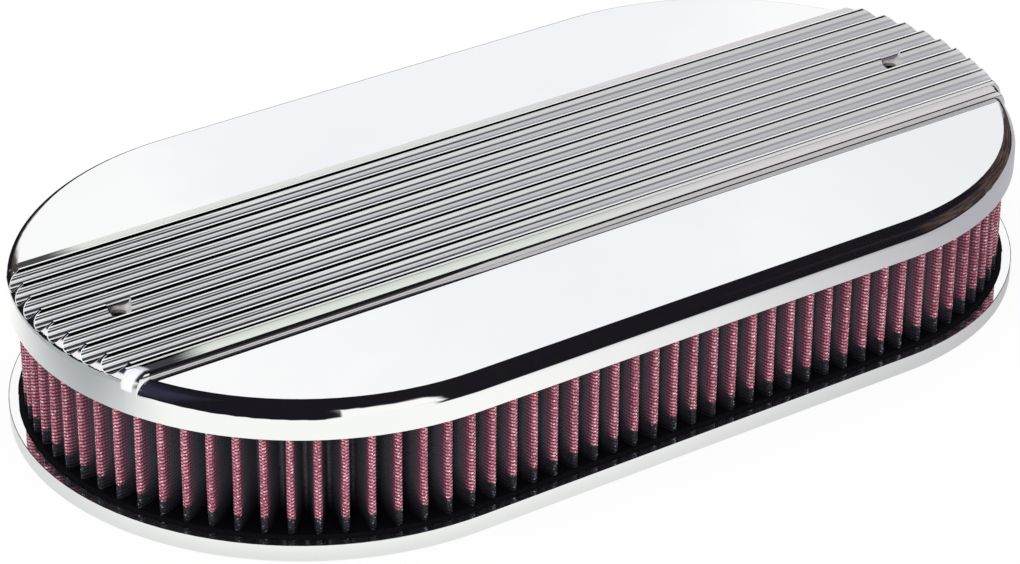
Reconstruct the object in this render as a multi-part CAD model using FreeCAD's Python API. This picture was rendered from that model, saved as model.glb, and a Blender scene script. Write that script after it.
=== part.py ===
import FreeCAD, Part
import math
import os

from FreeCAD import Vector

# Oval air cleaner of a carburetor: a cast, polished lid with a ribbed middle section over a
# pleated filter, which stands in the tray of an oval base. Millimetres. X runs along the oval,
# Y across it, +Z up. The origin is the middle of the surface that the base stands on.
# Every ring of the cleaner follows the same oval: two half circles joined by straight sides,
# so a single radius describes each of them.

side_run = 185.2               # length of the straight sides

# Lid
lid_radius = 104.9             # half the width of the lid, which sets every other ring
lid_wall = 3.0
lid_top = 4.2                  # thickness of the flat panels
lid_drop = 12.9                # from the panels down to the lid's lower edge
cavity_round = 1.2
shoulder_radius = 6.9
shoulder_inset = 4.7           # from the wall in to the crisp edge of the panels

# Base
base_height = 6.84             # from the standing surface to the top of the rim
rim_wall = 3.2                 # thickness of the upright rim
rim_bevel = 0.9                # bevel round the foot of the rim
web_thickness = 3.0            # flat floor between rim and neck
seat_height = 4.3              # top of the floor, where the filter stands
neck_radius = 65.1             # bore that goes over the carburetor's air horn
neck_wall = 3.0
neck_height = 13.0             # top of the neck above the standing surface
bridge_width = 16.0            # bar across the top of the neck, for the carburetor's stud
bridge_thickness = 5.0
stud_boss_radius = 12.0
stud_hole_radius = 4.1

# Filter
element_height = 50.8          # over both of its seals
pleat_depth = 16.0
gauze_thickness = 1.0
outer_fold_radius = 1.25       # middle of the gauze, on the outer folds
inner_fold_radius = 1.3
fold_chords = 4                # creases that each fold is made of
side_pleats = 22               # on each straight side
end_pleats = 35                # round each half circle
foot_seal_height = 3.4
foot_seal_reach = 1.8          # how far the foot of the lower seal stands out past the folds
foot_seal_flare = 1.4          # how far it stands out past its own top
foot_seal_lip = 2.4            # upright edge at the foot of the lower seal
head_seal_height = 7.6
seal_cover = 0.3               # seal beyond the folds, on both sides of the pleats
seal_round = 1.2
lid_gap = 0.3                  # round the upper seal inside the lid
tray_gap = 0.3                 # round the lower seal inside the rim

# Ribbed section of the lid
rib_pitch = 9.5
groove_count = 8
land_width = 0.85              # flat top of each rib
rib_rise = 3.7                 # tops of the ribs above the panels
groove_depth = 4.3
shelf_half_width = 44.7        # outer foot of the section
shelf_rise = 2.4               # plain shelf beside the outer ribs, above the panels
shelf_edge_radius = 0.6
shelf_draft = 0.2              # lean of the section's sides over their height
rib_foot_radius = 1.0          # hollow between the outer rib and the shelf

# Hold-down holes, posts and their screws
screw_hole_radius = 2.6
counterbore_radius = 4.75      # at the tops of the ribs
counterbore_taper = 0.5        # how much narrower it is at its floor
counterbore_depth = 4.7
post_radius = 5.0
post_gap = 4.3                 # between a post and the filter round the end of the oval
post_pad_radius = 9.0
post_pad_height = 2.0
post_hole_depth = 20.0
screw_radius = 2.5
screw_gap = 0.1                # between the base's screw and its hole
screw_length = 15.0
screw_head_radius = 4.6
screw_head_height = 2.1
screw_slot_width = 1.0
screw_slot_depth = 1.0

# Levels and places that follow from the sizes above
half_run = side_run / 2
ceiling_height = seat_height + element_height
panel_height = ceiling_height + lid_top
lid_foot_height = panel_height - lid_drop
rib_top_height = panel_height + rib_rise
shelf_height = panel_height + shelf_rise
foot_seal_top = seat_height + foot_seal_height
head_seal_bottom = ceiling_height - head_seal_height
head_seal_radius = lid_radius - lid_wall - lid_gap
filter_tip_radius = head_seal_radius - seal_cover
seal_inner_radius = filter_tip_radius - pleat_depth - seal_cover
foot_seal_radius = filter_tip_radius + foot_seal_reach
tray_radius = foot_seal_radius + tray_gap
base_radius = tray_radius + rim_wall
post_foot_height = seat_height + post_pad_height
ribs_half_width = (groove_count * rib_pitch + land_width) / 2
hole_reach = half_run + seal_inner_radius - post_gap - post_radius
hole_places = (-hole_reach, hole_reach)
through = 1.0                  # how far a cutting shape runs past the face that it opens


def oval_prism(radius, bottom, top):
    """Solid oval plate of the given radius between two levels."""
    left, right = Vector(-half_run, 0, bottom), Vector(half_run, 0, bottom)
    side, out = Vector(0, radius, 0), Vector(radius, 0, 0)
    edges = [
        Part.LineSegment(left - side, right - side).toShape(),
        Part.Arc(right - side, right + out, right + side).toShape(),
        Part.LineSegment(right + side, left + side).toShape(),
        Part.Arc(left + side, left - out, left - side).toShape(),
    ]
    return Part.Face(Part.Wire(edges)).extrude(Vector(0, 0, top - bottom))


def edges_at(shape, height):
    """Edges of a shape that lie level at the given height."""
    found = []
    for edge in shape.Edges:
        box = edge.BoundBox
        if abs(box.ZMin - height) < 1e-4 and abs(box.ZMax - height) < 1e-4:
            found.append(edge)
    return found


def upright(radius, bottom, top, x=0.0):
    """Upright cylinder on the middle line of the oval."""
    return Part.makeCylinder(radius, top - bottom, Vector(x, 0, bottom))


def shouldered_prism(level):
    """Oval block with the lid's rounded shoulder, cut off flat at the given level."""
    edge_reach = shoulder_radius - shoulder_inset
    edge_drop = math.sqrt(shoulder_radius ** 2 - edge_reach ** 2)
    full_top = level - edge_drop + shoulder_radius
    block = oval_prism(lid_radius, lid_foot_height, full_top)
    block = block.makeFillet(shoulder_radius, edges_at(block, full_top))
    return block.common(oval_prism(lid_radius + through, lid_foot_height - through, level))


def run_along(profile):
    """Closed cross-section in the YZ plane, run along the whole lid."""
    reach = half_run + lid_radius + through
    face = Part.Face(profile)
    face.translate(Vector(-reach, 0, 0))
    return face.extrude(Vector(2 * reach, 0, 0))


def shelf_profile():
    """Cross-section of the plain section under the ribs: leaning sides and rounded edges."""
    foot, top = shelf_half_width, shelf_half_width - shelf_draft
    r = shelf_edge_radius
    bend = r * math.sqrt(0.5)
    bottom = lid_foot_height - through
    edges = []
    for s in (-1, 1):
        low, base = Vector(0, s * foot, bottom), Vector(0, s * foot, panel_height)
        wall_end = Vector(0, s * top, shelf_height - r)
        middle = Vector(0, s * (top - r + bend), shelf_height - r + bend)
        shelf_end = Vector(0, s * (top - r), shelf_height)
        edges.append(Part.LineSegment(low, base).toShape())
        edges.append(Part.LineSegment(base, wall_end).toShape())
        edges.append(Part.Arc(wall_end, middle, shelf_end).toShape())
    edges.append(Part.LineSegment(Vector(0, -foot, bottom), Vector(0, foot, bottom)).toShape())
    left_end, right_end = Vector(0, r - top, shelf_height), Vector(0, top - r, shelf_height)
    edges.append(Part.LineSegment(left_end, right_end).toShape())
    return Part.Wire(Part.__sortEdges__(edges))


def ribs_profile():
    """Cross-section of the ribbed block before its grooves, hollowed beside the outer ribs."""
    half = ribs_half_width
    drop = rib_rise - shelf_rise
    r = min(rib_foot_radius, 0.9 * drop)
    bend = r * (1 - math.sqrt(0.5))
    bottom = lid_foot_height - through
    edges = []
    for s in (-1, 1):
        low, shelf = Vector(0, s * (half + r), bottom), Vector(0, s * (half + r), shelf_height)
        middle = Vector(0, s * (half + bend), shelf_height + bend)
        wall = Vector(0, s * half, shelf_height + r)
        edges.append(Part.LineSegment(low, shelf).toShape())
        edges.append(Part.Arc(shelf, middle, wall).toShape())
        edges.append(Part.LineSegment(wall, Vector(0, s * half, rib_top_height)).toShape())
    low_left, low_right = Vector(0, -half - r, bottom), Vector(0, half + r, bottom)
    top_left, top_right = Vector(0, -half, rib_top_height), Vector(0, half, rib_top_height)
    edges.append(Part.LineSegment(low_left, low_right).toShape())
    edges.append(Part.LineSegment(top_left, top_right).toShape())
    return Part.Wire(Part.__sortEdges__(edges))


def groove_cutters():
    """Round-nosed cutters that leave the grooves between the ribs."""
    half_opening = (rib_pitch - land_width) / 2
    radius = (half_opening ** 2 + groove_depth ** 2) / (2 * groove_depth)
    axis_height = rib_top_height - groove_depth + radius
    reach = half_run + lid_radius + through
    cutters = []
    for number in range(groove_count):
        y = (number - (groove_count - 1) / 2) * rib_pitch
        start = Vector(-reach, y, axis_height)
        cutters.append(Part.makeCylinder(radius, 2 * reach, start, Vector(1, 0, 0)))
    return cutters


def hold_down_cutters():
    """Counterbored holes on the middle rib, one near each end."""
    floor = rib_top_height - counterbore_depth
    floor_radius = counterbore_radius - counterbore_taper
    slope = counterbore_taper / counterbore_depth
    cutters = []
    for x in hole_places:
        top_radius = counterbore_radius + slope * through
        height = counterbore_depth + through
        cutters.append(Part.makeCone(floor_radius, top_radius, height, Vector(x, 0, floor)))
        cutters.append(upright(screw_hole_radius, ceiling_height - through, floor + through, x))
    return cutters


def lid():
    """Cast lid: panels, ribbed section and a cavity that drops over the filter's upper seal."""
    body = shouldered_prism(panel_height)
    body = body.fuse(shouldered_prism(shelf_height).common(run_along(shelf_profile())))
    body = body.fuse(shouldered_prism(rib_top_height).common(run_along(ribs_profile())))
    cavity = oval_prism(lid_radius - lid_wall, lid_foot_height - through, ceiling_height)
    cavity = cavity.makeFillet(cavity_round, edges_at(cavity, ceiling_height))
    body = body.cut([cavity] + groove_cutters() + hold_down_cutters())
    return body.removeSplitter()


def base_plate():
    """Cast base: rim, tray floor, neck with the stud's bridge, and pads for the posts."""
    plate = oval_prism(base_radius, 0, base_height)
    plate = plate.makeChamfer(rim_bevel, edges_at(plate, 0))
    plate = plate.cut(oval_prism(tray_radius, seat_height, base_height + through))
    plate = plate.cut(oval_prism(tray_radius, -through, seat_height - web_thickness))
    plate = plate.fuse(upright(neck_radius + neck_wall, 0, neck_height))
    for x in hole_places:
        plate = plate.fuse(upright(post_pad_radius, seat_height, post_foot_height, x))
    plate = plate.cut(upright(neck_radius, -through, neck_height + through))
    bridge_top = neck_height + bridge_thickness
    bar_reach = neck_radius + neck_wall
    bar_corner = Vector(-bridge_width / 2, -bar_reach, neck_height)
    bar = Part.makeBox(bridge_width, 2 * bar_reach, bridge_thickness, bar_corner)
    bar = bar.common(upright(bar_reach, neck_height, bridge_top))
    bar = bar.fuse(upright(stud_boss_radius, neck_height, bridge_top))
    plate = plate.fuse(bar)
    cutters = [upright(stud_hole_radius, neck_height - through, bridge_top + through)]
    web_bottom = seat_height - web_thickness
    for x in hole_places:
        cutters.append(upright(screw_radius + screw_gap, 0, post_foot_height + through, x))
        cutters.append(screw_head(x, web_bottom, screw_gap))
    return plate.cut(cutters).removeSplitter()


def screw_head(x, bottom, gap):
    """Countersunk head whose flat side faces down at the given level."""
    wide, narrow = screw_head_radius + gap, screw_radius + gap
    return Part.makeCone(wide, narrow, screw_head_height, Vector(x, 0, bottom))


def fold_centres():
    """Centres of the folds round the oval, outer and inner in turn, anticlockwise."""
    outer_reach = filter_tip_radius - gauze_thickness / 2 - outer_fold_radius
    inner_reach = filter_tip_radius - pleat_depth + gauze_thickness / 2 + inner_fold_radius
    steps = []
    for number in range(2 * side_pleats):
        along = half_run - side_run * number / (2 * side_pleats)
        steps.append((along, math.pi / 2))
    for number in range(2 * end_pleats):
        steps.append((-half_run, math.pi / 2 + math.pi * number / (2 * end_pleats)))
    for number in range(2 * side_pleats):
        along = side_run * number / (2 * side_pleats) - half_run
        steps.append((along, 3 * math.pi / 2))
    for number in range(2 * end_pleats):
        steps.append((half_run, 3 * math.pi / 2 + math.pi * number / (2 * end_pleats)))
    centres = []
    for number, (x, angle) in enumerate(steps):
        is_outer = number % 2 == 0
        reach = outer_reach if is_outer else inner_reach
        centres.append((x + reach * math.cos(angle), reach * math.sin(angle), angle, is_outer))
    return centres


def crossing_direction(first, first_radius, second, second_radius):
    """Way from the first circle's centre to where the line that crosses to the second touches it."""
    dx, dy = second[0] - first[0], second[1] - first[1]
    tilt = math.acos((first_radius + second_radius) / math.hypot(dx, dy))
    return math.atan2(dy, dx) - tilt if first[3] else math.atan2(dy, dx) + tilt


def half_turn(angle):
    """The same direction between minus and plus half a turn."""
    return math.remainder(angle, 2 * math.pi)


def pleat_wire(offset, height):
    """Closed outline of the pleats, offset outwards from the middle of the gauze."""
    centres = fold_centres()
    radii = []
    for x, y, angle, is_outer in centres:
        radii.append(outer_fold_radius + offset if is_outer else inner_fold_radius - offset)
    turns = []
    for number, centre in enumerate(centres):
        after = (number + 1) % len(centres)
        turns.append(crossing_direction(centre, radii[number], centres[after], radii[after]))
    points = []
    for number, (x, y, angle, is_outer) in enumerate(centres):
        crest = angle if is_outer else angle + math.pi
        start = half_turn(turns[number - 1] + math.pi - crest)
        end = half_turn(turns[number] - crest)
        for step in range(fold_chords + 1):
            way = crest + start + (end - start) * step / fold_chords
            reach = radii[number]
            points.append(Vector(x + reach * math.cos(way), y + reach * math.sin(way), height))
    return Part.makePolygon(points + points[:1])


def filter_media():
    """Oiled gauze folded into pleats all round, standing between the two seals."""
    outer = pleat_wire(gauze_thickness / 2, foot_seal_top)
    inner = pleat_wire(-gauze_thickness / 2, foot_seal_top)
    face = Part.makeFace([outer, inner], "Part::FaceMakerBullseye")
    return face.extrude(Vector(0, 0, head_seal_bottom - foot_seal_top))


def oval_ring(half_profile):
    """Ring whose cross-section, given as radius and height, follows the oval."""
    points = [Vector(radius, 0, height) for radius, height in half_profile]
    face = Part.Face(Part.makePolygon(points + points[:1]))
    up = Vector(0, 0, 1)
    ends = []
    for x, turn in ((half_run, -90), (-half_run, 90)):
        end = face.copy()
        end.translate(Vector(x, 0, 0))
        end.rotate(Vector(x, 0, 0), up, turn)
        ends.append(end.revolve(Vector(x, 0, 0), up, 180))
    sides = []
    for turn in (90, -90):
        side = face.copy()
        side.rotate(Vector(0, 0, 0), up, turn)
        side.translate(Vector(-half_run, 0, 0))
        sides.append(side.extrude(Vector(side_run, 0, 0)))
    return ends[0].fuse([ends[1]] + sides).removeSplitter()


def filter_bottom_seal():
    """Moulded lower seal, flared to fill the tray inside the rim."""
    top_radius = foot_seal_radius - foot_seal_flare
    lip_top = seat_height + foot_seal_lip
    return oval_ring([
        (seal_inner_radius, seat_height),
        (foot_seal_radius, seat_height),
        (foot_seal_radius, lip_top),
        (top_radius, foot_seal_top),
        (seal_inner_radius, foot_seal_top),
    ])


def filter_top_seal():
    """Moulded upper seal that the lid presses on."""
    corner = cavity_round + seal_round
    return oval_ring([
        (seal_inner_radius, head_seal_bottom),
        (head_seal_radius, head_seal_bottom),
        (head_seal_radius, ceiling_height - corner),
        (head_seal_radius - corner, ceiling_height),
        (seal_inner_radius, ceiling_height),
    ])


def lid_posts():
    """Posts that carry the lid's hold-down screws, drilled at both ends."""
    posts = []
    for x in hole_places:
        post = upright(post_radius, post_foot_height, ceiling_height, x)
        top_hole_floor = ceiling_height - post_hole_depth
        post = post.cut(upright(screw_hole_radius, top_hole_floor, ceiling_height + through, x))
        foot_hole_top = seat_height - web_thickness + screw_length + through
        foot_hole = upright(screw_radius + screw_gap, 0, foot_hole_top, x)
        posts.append(post.cut(foot_hole))
    return Part.makeCompound(posts)


def post_screws():
    """Slotted countersunk screws that hold the posts to the base from below."""
    bottom = seat_height - web_thickness
    screws = []
    for x in hole_places:
        screw = screw_head(x, bottom, 0)
        shank = upright(screw_radius, bottom + screw_head_height, bottom + screw_length, x)
        screw = screw.fuse(shank).removeSplitter()
        corner = Vector(x - screw_slot_width / 2, -screw_head_radius - through, bottom - through)
        slot_length = 2 * (screw_head_radius + through)
        slot = Part.makeBox(screw_slot_width, slot_length, screw_slot_depth + through, corner)
        screws.append(screw.cut(slot))
    return Part.makeCompound(screws)


os.makedirs("parts", exist_ok=True)
for build in (
    lid,
    base_plate,
    filter_media,
    filter_bottom_seal,
    filter_top_seal,
    lid_posts,
    post_screws,
):
    shape = build()
    shape.exportStep("parts/" + build.__name__ + ".step")
    box = shape.optimalBoundingBox(False)
    corners = [round(v, 2) for v in (box.XMin, box.YMin, box.ZMin, box.XMax, box.YMax, box.ZMax)]
    print(build.__name__, len(shape.Solids), shape.isValid(), round(shape.Volume), corners)
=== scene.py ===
import bisect
import math

import bmesh
import bpy
from mathutils import Matrix, Vector, noise


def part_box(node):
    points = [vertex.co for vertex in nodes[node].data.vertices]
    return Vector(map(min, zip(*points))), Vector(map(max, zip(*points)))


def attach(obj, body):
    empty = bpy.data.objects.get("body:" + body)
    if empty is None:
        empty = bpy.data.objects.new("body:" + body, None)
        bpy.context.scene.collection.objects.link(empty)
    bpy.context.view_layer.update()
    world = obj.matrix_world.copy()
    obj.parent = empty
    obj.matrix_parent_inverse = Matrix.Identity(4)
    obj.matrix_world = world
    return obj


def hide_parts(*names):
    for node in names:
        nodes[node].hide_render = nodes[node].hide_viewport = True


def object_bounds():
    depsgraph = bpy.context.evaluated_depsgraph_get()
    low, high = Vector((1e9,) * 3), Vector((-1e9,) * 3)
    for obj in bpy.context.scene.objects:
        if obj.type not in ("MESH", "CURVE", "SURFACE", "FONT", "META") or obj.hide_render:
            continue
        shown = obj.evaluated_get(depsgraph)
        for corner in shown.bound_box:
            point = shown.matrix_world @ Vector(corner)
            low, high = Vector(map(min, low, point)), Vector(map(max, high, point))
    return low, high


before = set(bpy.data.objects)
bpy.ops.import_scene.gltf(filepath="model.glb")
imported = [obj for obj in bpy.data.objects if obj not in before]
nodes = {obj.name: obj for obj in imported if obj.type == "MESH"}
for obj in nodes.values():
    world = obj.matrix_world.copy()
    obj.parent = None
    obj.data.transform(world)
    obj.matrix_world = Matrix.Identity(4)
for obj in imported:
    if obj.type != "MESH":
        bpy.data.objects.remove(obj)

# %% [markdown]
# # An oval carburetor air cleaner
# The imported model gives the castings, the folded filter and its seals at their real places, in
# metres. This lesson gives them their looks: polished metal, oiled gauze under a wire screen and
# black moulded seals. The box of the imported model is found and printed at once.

cad_low, cad_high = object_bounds()
print("nodes:", sorted(nodes))
print("box of the model:", [round(v, 4) for v in (*cad_low, *cad_high)])

# %% [markdown]
# ## The camera
# The photograph looks down on the near left corner from about a metre and a half with a long
# lens. A long lens flattens the view, so the far end is hardly smaller than the near one. The
# camera's three axes are worked out from its direction, and a small roll is added about the
# direction of sight, because the photograph isn't quite level.

# %% Set up the camera
camera_place = Vector((-0.6927, -0.9778, 0.6929))
camera_azimuth = math.radians(-125.02)
camera_elevation = math.radians(29.43)
camera_roll = math.radians(0.423)
camera_lens = 133.24


def camera_turn(azimuth, elevation, roll):
    """Turn of a camera that stands at the given azimuth and elevation and looks back."""
    back = Vector((
        math.cos(elevation) * math.cos(azimuth),
        math.cos(elevation) * math.sin(azimuth),
        math.sin(elevation),
    ))
    level = Vector((-math.sin(azimuth), math.cos(azimuth), 0.0))
    steep = back.cross(level)
    right = math.cos(roll) * level + math.sin(roll) * steep
    up = math.cos(roll) * steep - math.sin(roll) * level
    return Matrix((right, up, back)).transposed().to_4x4()


camera_data = bpy.data.cameras.new("camera")
camera_data.lens = camera_lens
camera_data.sensor_width = 36.0
camera = bpy.data.objects.new("camera", camera_data)
turn = camera_turn(camera_azimuth, camera_elevation, camera_roll)
camera.matrix_world = Matrix.Translation(camera_place) @ turn
bpy.context.scene.collection.objects.link(camera)
bpy.context.scene.camera = camera
bpy.context.scene.view_settings.view_transform = "Standard"
print("camera looks along", [round(v, 3) for v in -turn.col[2].xyz])

# %% [markdown]
# ## Arithmetic for shaders
# A shader pattern is a sum: a stripe is a remainder, a mask is a comparison. Written with nodes it
# is hard to read, so one small class wraps an output and lets Python's own signs add the Math
# nodes. A second class holds a tree and adds any other node: its settings first, then its sockets.

# %% Write the two helpers
class Wire:
    """An output of a node, on which arithmetic adds Math nodes."""

    def __init__(self, tree, socket):
        self.tree = tree
        self.socket = socket

    def math(self, operation, *values):
        node = self.tree.nodes.new("ShaderNodeMath")
        node.operation = operation
        for place, value in enumerate(values):
            feed(self.tree, value, node.inputs[place])
        return Wire(self.tree, node.outputs[0])

    def __add__(self, other):
        return self.math("ADD", self, other)

    def __radd__(self, other):
        return self.math("ADD", other, self)

    def __sub__(self, other):
        return self.math("SUBTRACT", self, other)

    def __rsub__(self, other):
        return self.math("SUBTRACT", other, self)

    def __mul__(self, other):
        return self.math("MULTIPLY", self, other)

    def __rmul__(self, other):
        return self.math("MULTIPLY", other, self)

    def __truediv__(self, other):
        return self.math("DIVIDE", self, other)

    def __lt__(self, other):
        return self.math("LESS_THAN", self, other)

    def __gt__(self, other):
        return self.math("GREATER_THAN", self, other)

    def __abs__(self):
        return self.math("ABSOLUTE", self)

    def fraction(self):
        return self.math("FRACT", self)

    def sine(self):
        return self.math("SINE", self)

    def root(self):
        return self.math("SQRT", self)

    def arcsine(self):
        return self.math("ARCSINE", self)

    def turn_from(self, other):
        """Angle whose tangent is this over the other, all the way round."""
        return self.math("ARCTAN2", self, other)

    def at_least(self, value):
        return self.math("MAXIMUM", self, value)

    def clamped(self):
        return self.math("MINIMUM", self.at_least(0.0), 1.0)

    def ramp(self, low, high):
        """Rises smoothly from 0 at low to 1 at high."""
        x = ((self - low) / (high - low)).clamped()
        return x * x * (3.0 - 2.0 * x)


def feed(tree, value, socket):
    """Puts a number, a colour or a wire on a socket."""
    if isinstance(value, Wire):
        tree.links.new(value.socket, socket)
    else:
        socket.default_value = value


class Tree:
    """A node tree that is written node by node."""

    def __init__(self, tree):
        self.tree = tree
        self.tree.nodes.clear()

    def node(self, kind, settings=None, out=0, **sockets):
        """Adds a node: its type, its settings, then its sockets by name."""
        node = self.tree.nodes.new(kind)
        for name, value in (settings or {}).items():
            setattr(node, name, value)
        for name, value in sockets.items():
            wanted = name.replace("_", " ")
            found = [socket for socket in node.inputs if socket.name == wanted and socket.enabled]
            feed(self.tree, value, found[0])
        return Wire(self.tree, node.outputs[out])

    def mix(self, factor, first, second):
        """Colour between two others."""
        node = self.tree.nodes.new("ShaderNodeMix")
        node.data_type = "RGBA"
        feed(self.tree, factor, node.inputs[0])
        feed(self.tree, first, node.inputs[6])
        feed(self.tree, second, node.inputs[7])
        return Wire(self.tree, node.outputs[2])

    def split(self, vector):
        """The three parts of a vector."""
        parts = self.tree.nodes.new("ShaderNodeSeparateXYZ")
        feed(self.tree, vector, parts.inputs[0])
        return [Wire(self.tree, socket) for socket in parts.outputs]

    def place(self):
        """Object coordinates in metres, whole and in three parts."""
        where = self.node("ShaderNodeTexCoord", out=3)
        return where, self.split(where)

    def finish(self, kind, shader):
        """Joins the last shader to the output of the tree."""
        feed(self.tree, shader, self.tree.nodes.new(kind).inputs["Surface"])


def new_finish(name):
    """An empty material and its tree."""
    material = bpy.data.materials.new(name)
    material.use_nodes = True
    return material, Tree(material.node_tree)


def dress(piece, material):
    """Gives a piece one material all over."""
    piece.data.materials.clear()
    piece.data.materials.append(material)


print("helpers ready")

# %% [markdown]
# ## Polished casting
# The lid and the base are aluminium castings, ground and buffed until they mirror the room. A
# mirror has almost no colour of its own: what makes it look like metal is what it reflects and
# how slightly uneven it is. So the colour is a pale grey with a faint cloud in it, the roughness
# is low with fine buffing marks, and a weak bump leaves the surface a little wavy.

# %% Mix the buffed metal
pale_alloy = (0.88, 0.885, 0.89, 1)
bright_alloy = (0.94, 0.94, 0.94, 1)


def buffed(tree, where):
    """Colour, roughness and normal of buffed aluminium."""
    cloud = tree.node("ShaderNodeTexNoise", Vector=where, Scale=14.0, Detail=3.0)
    fine = tree.node("ShaderNodeTexNoise", Vector=where, Scale=900.0, Detail=2.0)
    wave = tree.node("ShaderNodeTexNoise", Vector=where, Scale=28.0, Detail=1.0)
    colour = tree.mix(cloud, pale_alloy, bright_alloy)
    roughness = 0.03 + 0.05 * fine * cloud
    normal = tree.node("ShaderNodeBump", Strength=0.06, Distance=0.002, Height=wave)
    return colour, roughness, normal


print("buffed metal ready")

# %% [markdown]
# ## Where the lid's features lie
# No part of the mesh is marked, so each feature of the lid is found by its place. The Object
# coordinates say where a point is, in metres. It lies in a groove if its distance from that
# groove's axis is the cutter's radius, and on the shelf if it is at the shelf's height. The
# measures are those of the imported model, and each test has a little slack, because the flat
# faces of the mesh lie just inside the true rounds.

# %% Note the lid's measures
rib_pitch = 0.0095
rib_top = cad_high.z
groove_depth = 0.0043
land_width = 0.00085           # flat top of a rib
groove_opening = (rib_pitch - land_width) / 2
groove_radius = (groove_opening ** 2 + groove_depth ** 2) / (2 * groove_depth)
groove_axis = rib_top - groove_depth + groove_radius
groove_sag = 0.00004           # the mesh lies this far inside the true groove
groove_slack = 0.00012
ribs_half_width = 4 * rib_pitch + land_width / 2
shelf_height = rib_top - 0.0013
shelf_rise = 0.0024            # from the panels up to the shelf
shelf_reach = 0.0447
panel_height = shelf_height - shelf_rise
bore_reach = 0.1683            # from the middle to the axis of a hold-down hole
bore_radius = 0.0047
bore_shown = 0.006             # the finish of a hole goes down this far
side_run = 0.1852              # length of the oval's straight sides
lid_reach = 0.1049
shoulder_radius = 0.0069
shoulder_centre = lid_reach - shoulder_radius    # reach of the middle of the shoulder's round
shoulder_middle = rib_top - 0.00654              # and its height, at the ribs
slack = 0.0002


def within(value, low, high):
    """1 where a value lies between two others, 0 elsewhere."""
    return (value > low) * (value < high)


def reach_from_spine(x, y):
    """Distance from the line that the oval's two half circles are struck from."""
    past_end = (abs(x) - side_run / 2).at_least(0.0)
    return (past_end * past_end + y * y).root()


def find_groove(y, z):
    """Mask of the grooves, height in a groove (0 at its bottom) and place across it."""
    across = ((y / rib_pitch).fraction() - 0.5) * rib_pitch
    rise = z - groove_axis
    reach = (across * across + rise * rise).root()
    inside = (abs(reach - groove_radius + groove_sag) < groove_slack) * (abs(y) < ribs_half_width)
    height = (rise + groove_radius) / groove_radius
    return inside, height, across


print("groove radius:", round(groove_radius * 1000, 3), "mm")

# %% [markdown]
# ## The grooves
# The grooves between the ribs were cut with a round-nosed cutter. The buffing wheel reaches the
# tops of the ribs, and below them the far wall of each groove stays satin, with a few fine dark
# lines along it that are strongest at the left end. The satin's tone is a painted reflection,
# lighter at the left end and darker at the right. The rest of the groove is painted dark, as shade.
# Where the grooves run out through the rounded shoulder their lips are painted pale, as a
# highlight.
#
# Each painter takes the colour so far and lays its own tones over it. It gives back the new colour
# and its share of satin, which makes the surface rougher and less metallic.

# %% Paint the grooves
groove_shadow = (0.03, 0.028, 0.035, 1)
groove_line = (0.012, 0.012, 0.016, 1)
left_cut_low = (0.83, 0.84, 0.87, 1)
left_cut_high = (0.86, 0.88, 0.85, 1)
right_cut_low = (0.62, 0.615, 0.65, 1)
right_cut_high = (0.67, 0.685, 0.66, 1)
cut_grain = (0.6, 0.6, 0.6, 1)
lip_highlight = (0.80, 0.80, 0.83, 1)
lip_top = 0.93                 # lips end at this height in the groove
satin_fade = 0.04


def line_at(height, level, width):
    """1 at a level of the groove, falling to 0 at a width's distance."""
    return 1 - (abs(height - level) / width).clamped()


def satin_groove(tree, where, height, along):
    """Colour of a groove's satin cut; along is 0 at the left end and 1 at the right end."""
    grain = tree.node("ShaderNodeTexNoise", Vector=where, Scale=2600.0, Detail=1.0)
    left_tone = tree.mix(height.ramp(0.3, 0.75), left_cut_low, left_cut_high)
    right_tone = tree.mix(height.ramp(0.3, 0.8), right_cut_low, right_cut_high)
    # painted reflection: the satin is lighter at the left end and darker at the right end
    colour = tree.mix(along, left_tone, right_tone)
    colour = tree.mix(grain * 0.2, colour, cut_grain)
    rest = 1 - along
    # Level in the groove, half width and strength of each line
    lines = (
        (0.56, 0.072, 1.3 * (1 - along.ramp(0.01, 0.22))),
        (0.40, 0.082 + 0.06 * along * along, 0.36 + 1.3 * rest),
        (0.234, 0.05, 0.12 + 0.2 * rest),
        (0.117, 0.078, 0.26 + 1.5 * rest * rest),
    )
    for level, width, strength in lines:
        step = line_at(height, level, width) * strength
        colour = tree.mix((1.3 * step).clamped() * 0.97, colour, groove_line)
    return colour


def paint_grooves(tree, colour, where, groove, along):
    """Walls painted dark as shade, and satin cut."""
    inside, height, across = groove
    satin_end = 0.69 + 0.13 * along
    below_end = 1 - ((height - satin_end) / satin_fade).clamped()
    cut = inside * below_end * across.ramp(0.0006, 0.0011)
    colour = tree.mix(inside * (0.95 - 0.15 * along), colour, groove_shadow)
    return tree.mix(cut, colour, satin_groove(tree, where, height, along)), cut


def paint_lips(tree, colour, groove, outward, z):
    """Lips of the mouths on the shoulder, painted pale as a highlight."""
    inside, height, across = groove
    fall = z - shoulder_middle
    from_shoulder = (outward * outward + fall * fall).root()
    lip = inside * (from_shoulder > shoulder_radius - slack) * (outward > 0) * (height < lip_top)
    return tree.mix(lip, colour, lip_highlight), 0.6 * lip


print("groove painters ready")
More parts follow.
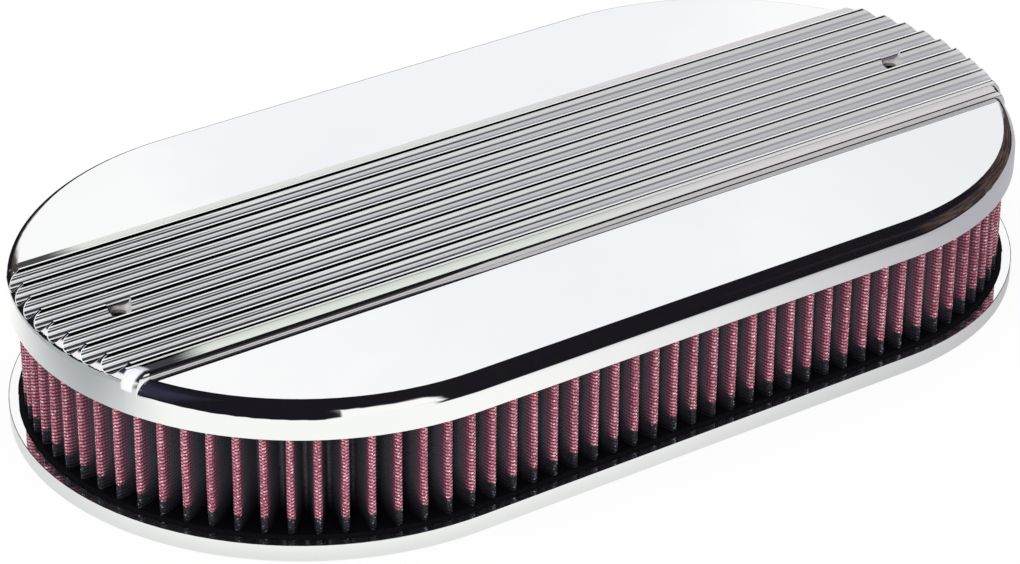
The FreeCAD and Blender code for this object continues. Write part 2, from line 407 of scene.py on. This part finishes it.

# %% [markdown]
# ## Shelf, upright sides and holes
# A thin black line of painted reflection runs under the top edge of the outermost ribs. The shelf
# beside them is brushed lengthwise, and its painted reflection turns dark where it runs out at the
# left end, and there a pale painted highlight rounds over the shoulder. The shelf's upright side is
# painted as a reflection, light at its foot and dark above, and further right a fine line of
# painted shade marks the foot itself. The two holes are painted dark on the left and bright on the
# right, as painted shade and highlight.

# %% Paint the shelf, the sides and the holes
rib_side_dark_reflection = (0.012, 0.012, 0.014, 1)
rib_side_grey_reflection = (0.60, 0.61, 0.60, 1)
shelf_reflection_left = (0.58, 0.615, 0.57, 1)
shelf_reflection_right = (0.53, 0.50, 0.52, 1)
shelf_brushed = (0.75, 0.76, 0.74, 1)
shelf_dark_reflection = (0.02, 0.018, 0.024, 1)
side_light_reflection = (0.58, 0.57, 0.57, 1)
side_dark_reflection = (0.035, 0.032, 0.035, 1)
side_foot_shade = (0.06, 0.05, 0.05, 1)
shoulder_highlight_tone = (0.66, 0.66, 0.71, 1)
bore_shade = (0.03, 0.022, 0.02, 1)
bore_lit_side = (0.70, 0.66, 0.63, 1)
bore_highlight = (1.0, 0.99, 0.98, 1)
edge_slack = 0.00006


def paint_rib_sides(tree, colour, side, z, along):
    """Outer sides of the outermost ribs, a painted reflection: black under the top edge, grey
    below.
    """
    whole = within(side, ribs_half_width - 0.0001, ribs_half_width + 0.0011)
    whole = whole * within(z, shelf_height + edge_slack, rib_top - edge_slack)
    low = whole * (z < rib_top - 0.0009 + 0.0005 * along)
    colour = tree.mix(whole, colour, rib_side_dark_reflection)
    return tree.mix(low, colour, rib_side_grey_reflection), low


def paint_shelf(tree, colour, x, y, z, along):
    """Shelf beside the ribs, brushed lengthwise, its tones a painted reflection that turns dark at
    the left end.
    """
    shelf = (abs(z - shelf_height) < 0.00005) * (abs(y) > ribs_half_width + 0.0008)
    tone = tree.mix(along.ramp(0.3, 1.0), shelf_reflection_left, shelf_reflection_right)
    stretched = tree.node("ShaderNodeCombineXYZ", X=x * 50, Y=y * 2600, Z=0.0)
    brushed = tree.node("ShaderNodeTexNoise", Vector=stretched, Scale=1.0, Detail=2.0)
    tone = tree.mix(brushed.ramp(0.35, 0.65) * 0.25, tone, shelf_brushed)
    # painted dark reflection where the shelf runs out at the left end
    run_out = 1 - (x + 0.016 * brushed).ramp(-0.164, -0.150)
    tone = tree.mix(run_out, tone, shelf_dark_reflection)
    return tree.mix(shelf, colour, tone), shelf * (1 - run_out)


def paint_shelf_sides(tree, colour, side, z, along):
    """Upright side of the shelf, a painted reflection light below and dark above, with painted
    shade at the foot: climb is 0 at the panel and 1 at the shelf.
    """
    climb = (z - panel_height) / shelf_rise
    wall = (abs(side - shelf_reach + 0.0001) < slack) * (climb > 0.02)
    wall = wall * (climb < 0.52 + 0.32 * along)
    light_end = 0.26 + 0.6 * along.ramp(0.2, 0.5)
    tone = tree.mix(climb > light_end, side_light_reflection, side_dark_reflection)
    tone = tree.mix((climb < 0.12) * along.ramp(0.4, 0.7), tone, side_foot_shade)
    return tree.mix(wall, colour, tone), wall


def paint_shoulder_highlight(tree, colour, x, y, z, outward):
    """Painted highlight on the shoulder, at the left end of the near shelf."""
    pale_highlight = y.ramp(-0.0436, -0.0424) * (1 - y.ramp(-0.0400, -0.0386)) * (x < 0)
    pale_highlight = pale_highlight * outward.ramp(-0.0002, 0.0012)
    pale_highlight = pale_highlight * (z - panel_height).ramp(-0.0046, -0.0034)
    return tree.mix(0.85 * pale_highlight, colour, shoulder_highlight_tone), pale_highlight


def paint_holes(tree, colour, x, y, z, in_groove):
    """Walls of the two hold-down holes, with painted shade on the left and a painted highlight on
    the right.
    """
    from_axis = abs(x) - bore_reach
    hole = (from_axis * from_axis + y * y).root() < bore_radius + slack
    hole = hole * (z < rib_top - slack) * (1 - in_groove) * (z > rib_top - bore_shown)
    sideways = x + bore_reach - 2 * bore_reach * (x > 0)
    tone = tree.mix(sideways.ramp(-0.0026, 0.0022), bore_shade, bore_lit_side)
    tone = tree.mix(sideways.ramp(0.0026, 0.0038), tone, bore_highlight)
    return tree.mix(hole, colour, tone), 0.4 * hole


print("shelf and hole painters ready")

# %% [markdown]
# ## The finishes of lid and base
# The lid's finish calls the painters one after another. Its near panel also gets a little darker
# towards the right, as a painted reflection. The base is buffed all over, with a fine dark line of
# painted reflection round its outer edge.

# %% Mix the finishes of the castings
near_panel_reflection_right = (0.80, 0.81, 0.83, 1)
rim_height = 0.00684
rim_reach = 0.1066
rim_dark_reflection = (0.06, 0.055, 0.06, 1)
rim_line_width = 0.00028


def polished_lid_finish():
    """Buffed metal with satin grooves, shelf and sides."""
    material, tree = new_finish("polished_lid")
    where, (x, y, z) = tree.place()
    colour, roughness, normal = buffed(tree, where)
    along = x.ramp(-0.19, 0.15)
    side = abs(y)
    outward = reach_from_spine(x, y) - shoulder_centre
    groove = find_groove(y, z)
    colour, cut = paint_grooves(tree, colour, where, groove, along)
    near_panel = y < -shelf_reach - slack
    # painted reflection: the near panel turns a little darker towards the right
    colour = tree.mix(x.ramp(0.0, 0.16) * near_panel, colour, near_panel_reflection_right)
    colour, lips = paint_lips(tree, colour, groove, outward, z)
    colour, rib_sides = paint_rib_sides(tree, colour, side, z, along)
    colour, shelf = paint_shelf(tree, colour, x, y, z, along)
    colour, shelf_sides = paint_shelf_sides(tree, colour, side, z, along)
    colour, pale_highlight = paint_shoulder_highlight(tree, colour, x, y, z, outward)
    colour, holes = paint_holes(tree, colour, x, y, z, groove[0])
    satin = (cut + shelf + shelf_sides + rib_sides + lips + pale_highlight + holes).clamped()
    shader = tree.node(
        "ShaderNodeBsdfPrincipled",
        Base_Color=colour,
        Metallic=1 - 0.85 * satin,
        Roughness=roughness + 0.4 * satin,
        Normal=normal,
    )
    tree.finish("ShaderNodeOutputMaterial", shader)
    return material


def polished_base_finish():
    """Buffed metal with a fine dark line of painted reflection round the rim's outer edge."""
    material, tree = new_finish("polished_base")
    where, (x, y, z) = tree.place()
    colour, roughness, normal = buffed(tree, where)
    at_edge = abs(reach_from_spine(x, y) - rim_reach) < rim_line_width
    edge = at_edge * (z > rim_height - slack)
    colour = tree.mix(edge * abs(x).ramp(0.10, 0.15), colour, rim_dark_reflection)
    shader = tree.node(
        "ShaderNodeBsdfPrincipled",
        Base_Color=colour,
        Metallic=1.0,
        Roughness=roughness,
        Normal=normal,
    )
    tree.finish("ShaderNodeOutputMaterial", shader)
    return material


lid_finish = polished_lid_finish()
base_finish = polished_base_finish()
print("castings:", lid_finish.name, base_finish.name)

# %% [markdown]
# ## Smooth castings
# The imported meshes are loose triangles. On a mirror every facet would show, so each casting gets
# a piece of its own: a copy of the mesh whose doubled corners are merged, shaded smooth, with the
# edges kept sharp where two faces meet at more than a set angle. The angle lies just under that of
# the crisp edge round the panels and over those between the facets of the round shoulder.

# %% Merge and smooth the castings
same_corner = 1e-6             # corners nearer than this are one
sliver = 5e-5                  # shorter edges are dissolved
crease = math.radians(20.5)


def smooth_copy(node, name, finish):
    """A merged, smooth-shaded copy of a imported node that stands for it."""
    mesh = nodes[node].data.copy()
    mesh.name = name
    work = bmesh.new()
    work.from_mesh(mesh)
    bmesh.ops.remove_doubles(work, verts=work.verts, dist=same_corner)
    bmesh.ops.dissolve_degenerate(work, edges=work.edges, dist=sliver)
    for face in work.faces:
        face.smooth = True
    for edge in work.edges:
        edge.smooth = edge.is_manifold and edge.calc_face_angle(0.0) < crease
    work.to_mesh(mesh)
    work.free()
    mesh.materials.clear()
    mesh.materials.append(finish)
    piece = bpy.data.objects.new(name, mesh)
    bpy.context.scene.collection.objects.link(piece)
    even = piece.modifiers.new("even normals", "WEIGHTED_NORMAL")
    even.keep_sharp = True
    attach(piece, "root")
    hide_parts(node)
    print(name, len(mesh.polygons), "faces")
    return piece


lid_piece = smooth_copy("lid", "polished_lid", lid_finish)
base_piece = smooth_copy("base_plate", "polished_base", base_finish)

# %% [markdown]
# ## Oiled gauze under a wire screen
# The filter wall is cotton gauze, oiled red, between two screens of fine woven wire, and all of it
# is folded together like a fan. The weave is about a millimetre and a quarter apart, which is too
# fine to model thread by thread, so it is drawn with two sets of waves. They run on the piece's
# first UV map: u goes along the folded sheet and v up it, both in metres, so the weave follows
# every fold. The second UV map holds the distance from the nearest outer fold, negative on one
# side of it. It shifts the rows by half a wave from side to side, which makes the braid along each
# fold, and sets the painted shade that darkens the sheet down the flanks and towards the bottom of
# the folds. The feet of the folds were dipped in rubber, and high up the lid shades them.

# %% Mix the gauze
weave_width = 0.0012           # from thread to thread across
weave_height = 0.00128         # from thread to thread up
dipped_height = 0.01375        # the rubber has crept up the folds to here
lit_height = 0.0465            # above this the lid shades the folds
hollow_crest = (0.10, 0.014, 0.03, 1)
hollow_flank_shade = (0.035, 0.008, 0.018, 1)
thread_dull = (0.36, 0.09, 0.135, 1)
thread_bright = (0.58, 0.21, 0.285, 1)
thread_flank_shade = (0.22, 0.05, 0.10, 1)
thread_glint = (0.95, 0.66, 0.72, 1)
fold_shade_left = (0.046, 0.048, 0.057, 1)
fold_shade_right = (0.085, 0.060, 0.068, 1)
lid_shade = (0.02, 0.012, 0.018, 1)
rubber_tone = (0.010, 0.010, 0.015, 1)
rubber_glint = (0.36, 0.36, 0.54, 1)


def gauze_finish():
    """Red weave with painted shade towards the bottom of the folds, on black feet."""
    material, tree = new_finish("oiled_gauze")
    u, v = tree.split(tree.node("ShaderNodeUVMap", {"uv_map": "sheet"}))[:2]
    from_crest = tree.split(tree.node("ShaderNodeUVMap", {"uv_map": "fold"}))[0]
    where, (x, y, z) = tree.place()
    pull = tree.node("ShaderNodeTexNoise", Vector=where, Scale=260.0, Detail=1.0)
    patch = tree.node("ShaderNodeTexNoise", Vector=where, Scale=70.0, Detail=4.0)
    fleck = tree.node("ShaderNodeTexNoise", Vector=where, Scale=1300.0, Detail=2.0)
    braid = math.pi * (from_crest > 0)
    row = 0.5 + 0.5 * (v * (2 * math.pi / weave_height) + braid + 2.2 * pull).sine()
    column = 0.5 + 0.5 * (u * (2 * math.pi / weave_width) + 2.2 * pull).sine()
    thread = row * (0.5 + 0.5 * column)
    # painted shade: the weave darkens down the flanks of each fold
    flank = abs(from_crest).ramp(0.0005, 0.0034)
    hollow = tree.mix(flank, hollow_crest, hollow_flank_shade)
    crest_thread = tree.mix(patch.ramp(0.3, 0.7), thread_dull, thread_bright)
    raised = tree.mix(flank, crest_thread, thread_flank_shade)
    colour = tree.mix(thread.ramp(0.1, 0.7), hollow, raised)
    glint = fleck.ramp(0.52, 0.64) * thread * (1 - flank)
    colour = tree.mix(glint, colour, thread_glint)
    shade = abs(from_crest).ramp(0.0014, 0.0070)
    fold_shade_tone = tree.mix(x.ramp(0.04, 0.17), fold_shade_left, fold_shade_right)
    colour = tree.mix(shade, colour, fold_shade_tone)
    colour = tree.mix(v.ramp(lit_height - 0.004, lit_height) * 0.7, colour, lid_shade)
    crept = v + 0.0012 * patch + 0.003 * (fleck - 0.5)
    dry_from = dipped_height + 0.0012 + 0.010 * shade
    dipped = 1 - crept.ramp(dipped_height - 0.004 * shade, dry_from)
    speck = fleck.ramp(0.56, 0.66) * thread * (1 - abs(from_crest).ramp(0.0002, 0.0012))
    rubber = tree.mix(speck, rubber_tone, rubber_glint)
    colour = tree.mix(dipped, colour, rubber)
    shader = tree.node(
        "ShaderNodeBsdfPrincipled",
        Base_Color=colour,
        Roughness=0.75 - 0.3 * thread,
        Normal=tree.node("ShaderNodeBump", Strength=0.7, Distance=0.0004, Height=thread),
    )
    tree.finish("ShaderNodeOutputMaterial", shader)
    return material


gauze = gauze_finish()
print("gauze:", gauze.name)

# %% [markdown]
# ## Folding the sheet
# Each fold is a short arc, and the flat stretch between two folds touches both arcs. So every fold
# is one point spun round the fold's own centre, and the arcs are joined into a closed line that
# winds round the oval. Extruding the line upwards makes the sheet, a little noise keeps the folds
# from being all alike, and a Solidify modifier gives the sheet its thickness. The noise gets a seed
# and the faces are put in order, so that every run makes the very same sheet. The length along
# the line is kept on each point. It becomes u of the first UV map, and the distance from the
# nearest outer fold becomes u of the second one.

# %% Fold the gauze
side_pleats = 22
end_pleats = 35
pleat_depth = 0.016
sheet_thickness = 0.001
outer_fold = 0.0013            # radius of the sheet's face on the outer folds
inner_fold = 0.0009
fold_steps = 8                 # pieces that each arc is made of
fold_rows = 12                 # rows of faces up the sheet
sway_size = 0.0003             # how far the folds sway from upright
sway_seed = 1                  # without a seed the noise is another one in every run


def oval_point(reach, share, part):
    """Point of the oval and its outward angle: parts 0 and 2 are sides, 1 and 3 are ends."""
    way = 1 if part < 2 else -1
    if part % 2 == 0:
        return Vector((way * (side_run / 2 - share * side_run), way * reach, 0)), way * math.pi / 2
    angle = math.pi * (0.5 + share) if part == 1 else math.pi * (1.5 + share)
    spot = Vector((-way * side_run / 2 + reach * math.cos(angle), reach * math.sin(angle), 0))
    return spot, angle


def join_with_tangent(centre, radius, after, radius_after, is_outer):
    """Angle from a fold's centre to where the flat stretch to the next fold starts."""
    gap = after - centre
    tilt = math.acos((radius + radius_after) / gap.length)
    return math.atan2(gap.y, gap.x) + (-tilt if is_outer else tilt)


def from_nearest(spot, crests):
    """Signed distance along the sheet from the nearest outer fold."""
    after = bisect.bisect(crests, spot)
    return min((spot - crest for crest in crests[max(after - 1, 0):after + 1]), key=abs)


def folded_sheet(name, node, finish):
    """The pleated wall, standing between the two seals."""
    low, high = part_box(node)
    outer_reach = high.y - outer_fold
    inner_reach = high.y - pleat_depth + sheet_thickness + inner_fold
    folds = []
    for part, count in ((0, side_pleats), (1, end_pleats), (2, side_pleats), (3, end_pleats)):
        for number in range(2 * count):
            is_outer = number % 2 == 0
            reach = outer_reach if is_outer else inner_reach
            centre, angle = oval_point(reach, number / (2 * count), part)
            folds.append((centre, angle, is_outer, outer_fold if is_outer else inner_fold))
    ways = []
    for fold, after in zip(folds, folds[1:] + folds[:1]):
        ways.append(join_with_tangent(fold[0], fold[3], after[0], after[3], fold[2]))
    work = bmesh.new()
    along = work.verts.layers.float.new("along")
    uv = work.loops.layers.uv.new("sheet")
    fold_uv = work.loops.layers.uv.new("fold")
    ends = []
    for number, (centre, angle, is_outer, radius) in enumerate(folds):
        first, last = ways[number - 1] + math.pi, ways[number]
        crest = angle if is_outer else angle + math.pi
        first = crest + math.remainder(first - crest, 2 * math.pi)
        last = crest + math.remainder(last - crest, 2 * math.pi)
        spot = work.verts.new(centre + radius * Vector((math.cos(first), math.sin(first), 0)))
        made = bmesh.ops.spin(
            work, geom=[spot], cent=centre, axis=(0, 0, 1), dvec=(0, 0, 0),
            angle=last - first, steps=fold_steps, use_merge=False, use_duplicate=False,
        )
        last_spot = next(g for g in made["geom_last"] if isinstance(g, bmesh.types.BMVert))
        ends.append((spot, last_spot))
    for leaving, arriving in zip(ends, ends[1:] + ends[:1]):
        work.edges.new((leaving[1], arriving[0]))
    print("points round the oval:", len(work.verts))
    point, came, length = ends[0][0], None, 0.0
    while True:
        point[along] = length
        edge = next(e for e in point.link_edges if e is not came)
        length += edge.calc_length()
        point, came = edge.other_vert(point), edge
        if point is ends[0][0]:
            break
    stretch = round(length / weave_width) * weave_width / length
    crests = [(ends[n][0][along] + ends[n][1][along]) / 2 for n in range(0, len(folds), 2)]
    crests = [crests[-1] - length] + crests + [crests[0] + length]
    bmesh.ops.translate(work, verts=work.verts, vec=(0, 0, low.z))
    rise_by_rows(work, [(high.z - low.z) / fold_rows] * fold_rows)
    put_in_order(work)
    for face in work.faces:
        spots = [loop.vert[along] for loop in face.loops]
        wraps = max(spots) - min(spots) > length / 2
        for loop, spot in zip(face.loops, spots):
            spot = spot + length if wraps and spot < length / 2 else spot
            loop[uv].uv = (spot * stretch, loop.vert.co.z)
            loop[fold_uv].uv = (from_nearest(spot, crests), loop.vert.co.z)
    noise.seed_set(sway_seed)
    for vert in work.verts:
        sway = noise.noise_vector(Vector((vert.co.x * 60, vert.co.y * 60, vert.co.z * 25)))
        lean = math.sin(math.pi * (vert.co.z - low.z) / (high.z - low.z))
        vert.co += sway_size * lean * Vector((sway.x, sway.y, 0))
    piece = stand_piece(work, name, node, finish)
    shell = piece.modifiers.new("thickness", "SOLIDIFY")
    shell.thickness = sheet_thickness
    shell.offset = -1.0
    print(name, len(piece.data.polygons), "faces, sheet", round(length, 3), "m long")
    return piece


def rise_by_rows(work, steps):
    """Extrudes the open line of a bmesh upwards, one row of faces for each step."""
    line = list(work.edges)
    for step in steps:
        made = bmesh.ops.extrude_edge_only(work, edges=line)["geom"]
        risen = {g for g in made if isinstance(g, bmesh.types.BMVert)}
        bmesh.ops.translate(work, verts=list(risen), vec=(0, 0, step))
        line = [g for g in made if isinstance(g, bmesh.types.BMEdge) and risen.issuperset(g.verts)]


def put_in_order(work):
    """Numbers edges and faces by their corners, because extruding leaves them in any order."""
    work.verts.index_update()
    count = len(work.verts)

    def rank(part):
        corners = [vert.index for vert in part.verts]
        return max(corners) * count + min(corners)

    for parts in (work.edges, work.faces):
        parts.sort(key=rank)
        parts.index_update()


def stand_piece(work, name, node, finish):
    """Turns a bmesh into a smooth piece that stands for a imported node."""
    bmesh.ops.recalc_face_normals(work, faces=work.faces)
    for face in work.faces:
        face.smooth = True
    mesh = bpy.data.meshes.new(name)
    work.to_mesh(mesh)
    work.free()
    mesh.materials.append(finish)
    piece = bpy.data.objects.new(name, mesh)
    bpy.context.scene.collection.objects.link(piece)
    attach(piece, "root")
    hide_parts(node)
    return piece


gauze_piece = folded_sheet("folded_gauze", "filter_media", gauze)

# %% [markdown]
# ## Moulded seals, posts and screws
# The filter's two seals are poured from black rubber round the ends of the folds. The lower one
# sits deep in the tray, and only its edge shows. The posts are turned and the screws plated.

# %% Mix and give the small finishes
seal_dark = (0.001, 0.001, 0.002, 1)
seal_grain = (0.005, 0.004, 0.006, 1)
post_tint = (0.78, 0.78, 0.79, 1)
screw_tint = (0.72, 0.71, 0.68, 1)
post_rings = 20000.0           # turning marks, in radians a metre
screw_rings = 9000.0


def seal_finish():
    """Dull black rubber with a fine grain."""
    material, tree = new_finish("moulded_seal")
    where = tree.place()[0]
    grain = tree.node("ShaderNodeTexNoise", Vector=where, Scale=1400.0, Detail=3.0)
    colour = tree.mix(grain, seal_dark, seal_grain)
    normal = tree.node("ShaderNodeBump", Strength=0.4, Distance=0.0004, Height=grain)
    shader = tree.node(
        "ShaderNodeBsdfPrincipled",
        Base_Color=colour,
        Roughness=0.7 + 0.2 * grain,
        Specular_IOR_Level=0.1,
        Normal=normal,
    )
    tree.finish("ShaderNodeOutputMaterial", shader)
    return material


def turned_finish(name, tint, rings):
    """Metal with fine turning marks round it."""
    material, tree = new_finish(name)
    where, (x, y, z) = tree.place()
    marks = 0.5 + 0.5 * (z * rings).sine()
    cloud = tree.node("ShaderNodeTexNoise", Vector=where, Scale=300.0, Detail=2.0)
    dark = tuple(0.8 * part for part in tint[:3]) + (1,)
    shader = tree.node(
        "ShaderNodeBsdfPrincipled",
        Base_Color=tree.mix(cloud, dark, tint),
        Metallic=1.0,
        Roughness=0.25 + 0.15 * marks,
        Normal=tree.node("ShaderNodeBump", Strength=0.1, Distance=0.0002, Height=marks),
    )
    tree.finish("ShaderNodeOutputMaterial", shader)
    return material


seal = seal_finish()
foot_seal_piece = smooth_copy("filter_bottom_seal", "foot_seal", seal)
head_seal_piece = smooth_copy("filter_top_seal", "head_seal", seal)
dress(nodes["lid_posts"], turned_finish("turned_posts", post_tint, post_rings))
dress(nodes["post_screws"], turned_finish("plated_screws", screw_tint, screw_rings))

# %% [markdown]
# ## The floor
# The object stands on white paper that runs out to white. Polished metal shows the room more than
# itself, so floor and room are painted for mirror rays alone: Light Path's Is Glossy Ray picks
# those out. In the mirror the paper is light, greyer to the right and at the far left, greyer with
# a painted shadow close beside the object, and dark beyond its far edge. Its near edge is dark too,
# but for a bright stretch in front of the camera. The camera sees it nearly white, with the
# object's soft shadow.

# %% Lay the floor
floor_size = 4.0
paper_near_edge = -0.33
paper_bright = (1.02, 1.03, 1.01, 1)
paper_right = (0.52, 0.51, 0.54, 1)
paper_far_left = (0.42, 0.445, 0.46, 1)
paper_shadow_beside = (0.35, 0.36, 0.36, 1)
paper_dark = (0.01, 0.01, 0.012, 1)
paper_white = (0.9, 0.9, 0.9, 1)
glow_share = 0.84              # the rest of what the camera sees is lit paper with its shadow


def floor_finish():
    """White paper, and what mirrors see of it."""
    material, tree = new_finish("white_paper")
    x, y, z = tree.place()[1]
    glossy = tree.node("ShaderNodeLightPath", out=3)
    camera_ray = tree.node("ShaderNodeLightPath", out=0)
    beyond = 1 - y.ramp(paper_near_edge - 0.04, paper_near_edge + 0.04)
    heading = (x + 0.13).turn_from(-1 * y)
    bright_stretch = heading.ramp(-0.42, -0.36) * (1 - heading.ramp(0.20, 0.26))
    dark = beyond * (1 - bright_stretch)
    tone = tree.mix(x.ramp(-0.06, 0.24), paper_bright, paper_right)
    far_left = (1 - x.ramp(-0.28, -0.17)) * y.ramp(-0.07, 0.03)
    tone = tree.mix(far_left, tone, paper_far_left)
    # painted shadow in the mirrored paper close beside the object
    beside = 1 - reach_from_spine(x, y).ramp(0.107, 0.122)
    tone = tree.mix(beside * 0.3, tone, paper_shadow_beside)
    dark = (dark + y.ramp(0.17, 0.21)).clamped()
    mirrored = tree.mix(dark, tone, paper_dark)
    paper = tree.node("ShaderNodeBsdfDiffuse", Color=paper_white)
    shown = tree.mix(glossy, (1, 1, 1, 1), mirrored)
    glow = tree.node("ShaderNodeEmission", Color=shown, Strength=1.0)
    shader = tree.tree.nodes.new("ShaderNodeMixShader")
    feed(tree.tree, camera_ray * glow_share + glossy, shader.inputs[0])
    feed(tree.tree, paper, shader.inputs[1])
    feed(tree.tree, glow, shader.inputs[2])
    tree.finish("ShaderNodeOutputMaterial", Wire(tree.tree, shader.outputs[0]))
    return material


work = bmesh.new()
bmesh.ops.create_grid(work, x_segments=1, y_segments=1, size=floor_size)
floor_mesh = bpy.data.meshes.new("floor")
work.to_mesh(floor_mesh)
work.free()
floor = bpy.data.objects.new("floor", floor_mesh)
bpy.context.scene.collection.objects.link(floor)
floor_mesh.materials.append(floor_finish())
print("floor laid:", floor.name)

# %% [markdown]
# ## The room
# The room is dark, with four things in it for mirrors to show: a white wall low on the far side,
# which the flat panels mirror, a pale board at the left, which the teeth at the lid's left end
# catch, a bright board in front, which leaves a wedge of light on the shoulder, and a brown haze on
# the right and in front, which streaks the shoulder at the right end. A faint blue shade lies round
# the left board. Every ray that isn't a mirror ray sees an even pale sky, which lights the gauze
# and the floor softly, and the camera sees white.

# %% Paint the room
sky_strength = 1.2
room_black = (0.010, 0.009, 0.013, 1)
haze_dark = (0.036, 0.030, 0.034, 1)
haze_brown = (0.12, 0.08, 0.068, 1)
left_blue = (0.030, 0.032, 0.060, 1)
wall_bright = (1.04, 1.04, 1.045, 1)
wall_cool = (0.97, 0.975, 1.005, 1)
left_board_tone = (0.95, 0.94, 0.98, 1)
front_board_tone = (1.05, 1.04, 1.03, 1)

world = bpy.data.worlds.new("room")
bpy.context.scene.world = world
world.use_nodes = True
room = Tree(world.node_tree)
way = room.node("ShaderNodeTexCoord", out=0)
dx, dy, dz = room.split(way)
climb = dz.arcsine()


def panel(heading, left, right, bottom, top, soft_side=3.0, soft_top=3.0):
    """Mask of a board round a heading: all in degrees, left and right counted from it."""
    c, n = math.cos(math.radians(heading)), math.sin(math.radians(heading))
    turn = (c * dy - n * dx).turn_from(c * dx + n * dy) * (180 / math.pi)
    rise = climb * (180 / math.pi)
    inside = turn.ramp(-right - soft_side, -right + soft_side)
    inside = inside * (1 - turn.ramp(left - soft_side, left + soft_side))
    inside = inside * rise.ramp(bottom - soft_top, bottom + soft_top)
    return inside * (1 - rise.ramp(top - soft_top, top + soft_top))


streak = room.node("ShaderNodeTexNoise", Vector=way, Scale=9.0, Detail=3.0)
haze = room.mix(streak.ramp(0.4, 0.65), haze_dark, haze_brown)
mirror_view = room.mix(panel(90, 20, 135, -12, 32, 8, 8), room_black, haze)
mirror_view = room.mix(panel(150, 35, 35, 8, 58, 8, 14), mirror_view, left_blue)
cloud = room.node("ShaderNodeTexNoise", Vector=way, Scale=7.0, Detail=3.0)
wall_tone = room.mix(cloud.ramp(0.42, 0.62), wall_bright, wall_cool)
far_wall = panel(58, 26, 27, 5, 37)
left_board = panel(150, 23, 25, -8, 25, 2, 6)
front_board = panel(-94, 19, 18, -12, 42, 2, 5)
mirror_view = room.mix(far_wall, mirror_view, wall_tone)
mirror_view = room.mix(left_board, mirror_view, left_board_tone)
mirror_view = room.mix(front_board, mirror_view, front_board_tone)
camera_ray = room.node("ShaderNodeLightPath", out=0)
glossy_ray = room.node("ShaderNodeLightPath", out=3)
seen = room.mix(glossy_ray, (sky_strength, sky_strength, sky_strength, 1), mirror_view)
seen = room.mix(camera_ray, seen, (1, 1, 1, 1))
sky = room.node("ShaderNodeBackground", Color=seen, Strength=1.0)
room.finish("ShaderNodeOutputWorld", sky)
print("room painted")

# %% [markdown]
# ## The lamp
# A large soft lamp stands in front on the left, near the camera, and lights the folds of the
# gauze from the side. It is kept out of the mirror rays, because the photograph's metal doesn't
# show it.

# %% Hang the lamp
lamp_place = Vector((-1.1, -1.2, 0.7))
lamp_aim = Vector((0, 0, 0.03))
lamp_size = 0.5
lamp_power = 14.0


def soft_lamp(name, place, aim, size, power):
    """Square lamp that looks at a point and stays out of mirrors."""
    data = bpy.data.lights.new(name, "AREA")
    data.shape = "SQUARE"
    data.size = size
    data.energy = power
    lamp = bpy.data.objects.new(name, data)
    look = (aim - place).to_track_quat("-Z", "Y")
    lamp.matrix_world = Matrix.Translation(place) @ look.to_matrix().to_4x4()
    lamp.visible_glossy = False
    bpy.context.scene.collection.objects.link(lamp)
    return lamp


soft_lamp("key_lamp", lamp_place, lamp_aim, lamp_size, lamp_power)
